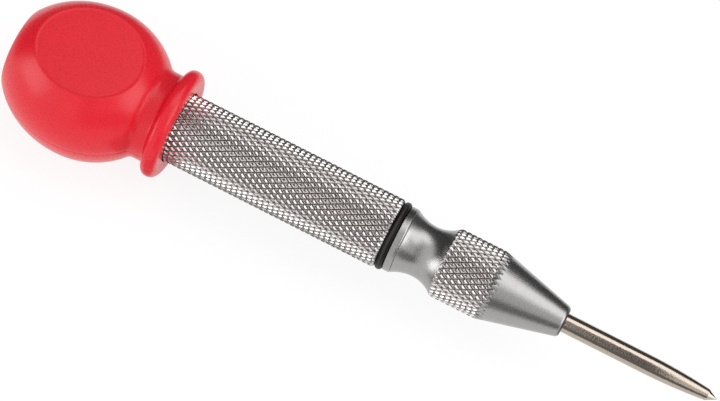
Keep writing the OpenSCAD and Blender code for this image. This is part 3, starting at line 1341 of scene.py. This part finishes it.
@dataclass(frozen=True)
class Viewpoint:
    """The camera, placed from the middle of the tool's axis as the photo was taken."""

    stand: tuple[float, float, float] = (38.336, -196.759, 416.459)
    azimuth: float = 11.547
    elevation: float = 63.867
    roll: float = 16.421
    focal_pixels: float = 2457.4
    clip: Point = (0.01, 50.0)

    def place(self, middle: Vector) -> None:
        """Make the camera and look through it.

        Args:
            middle: The middle of the tool's axis.
        """
        a, e = math.radians(self.azimuth), math.radians(self.elevation)
        back = Vector((math.sin(a) * math.cos(e), -math.cos(a) * math.cos(e), math.sin(e)))
        data = bpy.data.cameras.new("camera")
        data.sensor_width = SENSOR_WIDTH
        data.lens = self.focal_pixels / PHOTO_WIDTH * SENSOR_WIDTH
        data.clip_start, data.clip_end = self.clip
        camera = bpy.data.objects.new("camera", data)
        camera.location = middle + Vector(self.stand) * MM
        camera.rotation_mode = "QUATERNION"
        spin = Quaternion((0, 0, 1), math.radians(self.roll))
        camera.rotation_quaternion = turned_to(-back) @ spin
        bpy.context.scene.collection.objects.link(camera)
        bpy.context.scene.camera = camera


@dataclass(frozen=True)
class Studio:
    """A white floor under broad lamps, with dark sides that draw the bands in the metal."""

    floor_radius: float = 4.0
    floor_steps: int = 96
    floor_colour: Colour = (0.86, 0.86, 0.86)
    ground_share: float = 0.8
    ground_level: float = 1.06
    ambient: float = 0.64
    lamps: tuple[Softbox, ...] = (
        Softbox("top_box", 22.0, 19.0, 1.15, 1.2, 1.1, 1.0),
        Softbox("point_side_box", 0.0, 66.0, 1.1, 0.8, 0.6, 2.0),
        Softbox("cap_side_box", -66.0, -55.0, 1.1, 0.7, 0.6, 2.0),
        Softbox("near_fill", -72.0, 0.0, 1.2, 1.8, 0.7, 0.9, shows=False),
    )
    cards: tuple[DarkCard, ...] = (
        DarkCard("camera_card", -28.0, 0.0, 0.432, 0.087, 0.675, 0.12, 81.5),
        DarkCard("point_card", -41.0, 0.0, 0.606, 0.29, 0.5, 0.8, 380.0),
        DarkCard("near_card", -79.0, 0.0, 0.0815, 0.118, 0.055, 0.22, 91.0),
        DarkCard("side_card", -77.0, 0.0, 0.5, 0.43, 0.27, 0.12, 240.0),
        DarkCard("far_card", 76.7, 0.0, 0.039, 0.27, 0.041, 0.08),
        DarkCard("end_card", 73.4, -71.5, 0.1213, 0.105, 0.045, 0.04),
        DarkCard("rear_card", 35.0, -38.0, 0.8, 1.7, 0.6, 0.06),
        DarkCard("low_card", -128.0, 0.0, 0.0155, 0.048, 0.02, 0.38, -19.0),
        DarkCard("over_card", 50.0, 0.0, 0.3, 0.15, 0.1, 0.5, 185.0),
    )

    def _world(self) -> None:
        """Even light for the tool, and plain white for whatever looks past it."""
        world = bpy.data.worlds.new("studio")
        world.use_nodes = True
        tree = Shader(world.node_tree)
        levels = [(level, level, level, 1.0) for level in (self.ambient, 1.0)]
        light, ground = (tree.node("ShaderNodeBackground", {}, {"Color": c, "Strength": 1.0}) for c in levels)
        shader = tree.node("ShaderNodeMixShader", {}, {0: tree.sees_ground(), 1: light, 2: ground})
        tree.surface(shader, "ShaderNodeOutputWorld")
        bpy.context.scene.world = world

    def _floor(self) -> None:
        """A white floor that keeps the tool's shadow."""
        rim = [math.tau * i / self.floor_steps for i in range(self.floor_steps)]
        points = [Vector((math.cos(a), math.sin(a), 0)) * self.floor_radius for a in rim]
        floor = add_mesh("floor", points, [tuple(range(self.floor_steps))])
        material, tree = new_material("floor")
        diffuse = tree.node("ShaderNodeBsdfDiffuse", {}, {"Color": (*self.floor_colour, 1.0)})
        white = tree.node("ShaderNodeEmission", {}, {"Color": (1.0, 1.0, 1.0, 1.0), "Strength": self.ground_level})
        share = tree.sees_ground() * self.ground_share
        tree.surface(tree.node("ShaderNodeMixShader", {}, {0: share, 1: diffuse, 2: white}))
        floor.data.materials.append(material)

    def build(self, middle: Vector) -> None:
        """Set up world, floor, lamps, cards and camera.

        Args:
            middle: The middle of the tool's axis.
        """
        bpy.context.scene.view_settings.view_transform = "Standard"
        self._world()
        self._floor()
        for thing in (*self.lamps, *self.cards):
            thing.hang(middle)
        Viewpoint().place(middle)


# Finishes of this tool

CREST = 7.0
STEEL = ((0.41, 0.4, 0.395), (0.34, 0.33, 0.328))
STEEL_GRAIN = 0.02
# Painted shade and dirt in the knurls' grooves, painted shade on their crests and painted highlights on their flanks
GRIP_SHADING_AND_DIRT = KnurlShadingAndDirt(CREST, start=68.6, front_slope=1.0, end=115.8, rear_slope=1.0)
BAND_SHADING_AND_DIRT = KnurlShadingAndDirt(CREST, start=47.1, front_slope=0.2404, end=56.35, rear_slope=0.95)
FINISHES: dict[Slot, Finish] = {
    Slot.CAP: MouldedPlastic("red_cap", (0.65, 0.002, 0.013), (0.81, 0.01, 0.027)),
    Slot.STEEL: LatheMetal("turned_steel", *STEEL, 0.28, grain_depth=STEEL_GRAIN, knurl_shading_and_dirt=BAND_SHADING_AND_DIRT),
    Slot.HARD: LatheMetal("hardened_steel", (0.40, 0.41, 0.43), (0.30, 0.31, 0.33), 0.34),
    Slot.SPRING: LatheMetal("spring_wire", (0.56, 0.57, 0.60), (0.46, 0.47, 0.50), 0.3),
    Slot.BRASS: LatheMetal("brass", (0.76, 0.58, 0.28), (0.66, 0.49, 0.22), 0.3),
    Slot.NICKEL: LatheMetal(
        "nickel_point", (0.52, 0.45, 0.385), (0.43, 0.365, 0.31), 0.14, grain_scale=4000.0, grain_depth=0.014
    ),
    # The rubber's second colour is a painted highlight on the ring's outer round
    Slot.RUBBER: SealRubber("black_rubber", (0.006, 0.006, 0.006), (0.07, 0.055, 0.047), 6.95),
}
KNURLED_STEEL = LatheMetal("knurled_steel", *STEEL, 0.26, grain_depth=STEEL_GRAIN, knurl_shading_and_dirt=GRIP_SHADING_AND_DIRT)

# How far the springs are pressed, a hair more than the joints' ranges
POINT_TRAVEL = 8.01
SEAR_TRAVEL = 0.552


def springs(wire: Material) -> list[CoilSpring]:
    """The three springs inside.

    Args:
        wire: Their finish.

    Returns:
        The springs, not yet built.
    """
    along, up, aside = Vector((1, 0, 0)), Vector((0, 0, 1)), Vector((0, 1, 0))
    pressed = (Body.BARREL, "point_press", POINT_TRAVEL)
    shifted = (Body.HAMMER, "sear_shift", SEAR_TRAVEL)
    return [
        CoilSpring(wire, "main_spring", *pressed, 1.3, 8, along, aside, Body.FOLLOWER, 3),
        CoilSpring(wire, "return_spring", *pressed, 0.7, 14, along, aside),
        CoilSpring(wire, "sear_spring", *shifted, 0.25, 2, up, aside, closed_ends=False),
    ]


def main() -> None:
    """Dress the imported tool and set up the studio."""
    logging.basicConfig(level=logging.INFO, format="%(name)s %(message)s")
    for thing in list(bpy.data.objects):
        bpy.data.objects.remove(thing)
    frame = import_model()
    axis = Axis.from_frame()
    Studio().build(Vector((0.0, 0.0, axis.height)))
    materials = {slot: finish.make(axis) for slot, finish in FINISHES.items()}
    knurl = Knurl(CREST)
    for assembly in (
        PalmCap(axis, materials[Slot.CAP]),
        Barrel(axis, KNURLED_STEEL.make(axis), knurl),
        NosePiece(axis, materials[Slot.STEEL], knurl),
        PunchPoint(axis, materials[Slot.NICKEL]),
        SealRing(axis, materials[Slot.RUBBER]),
        *springs(materials[Slot.SPRING]),
        Works(frame["nodes"], materials),
    ):
        assembly.build()


if __name__ == "__main__":
    main()
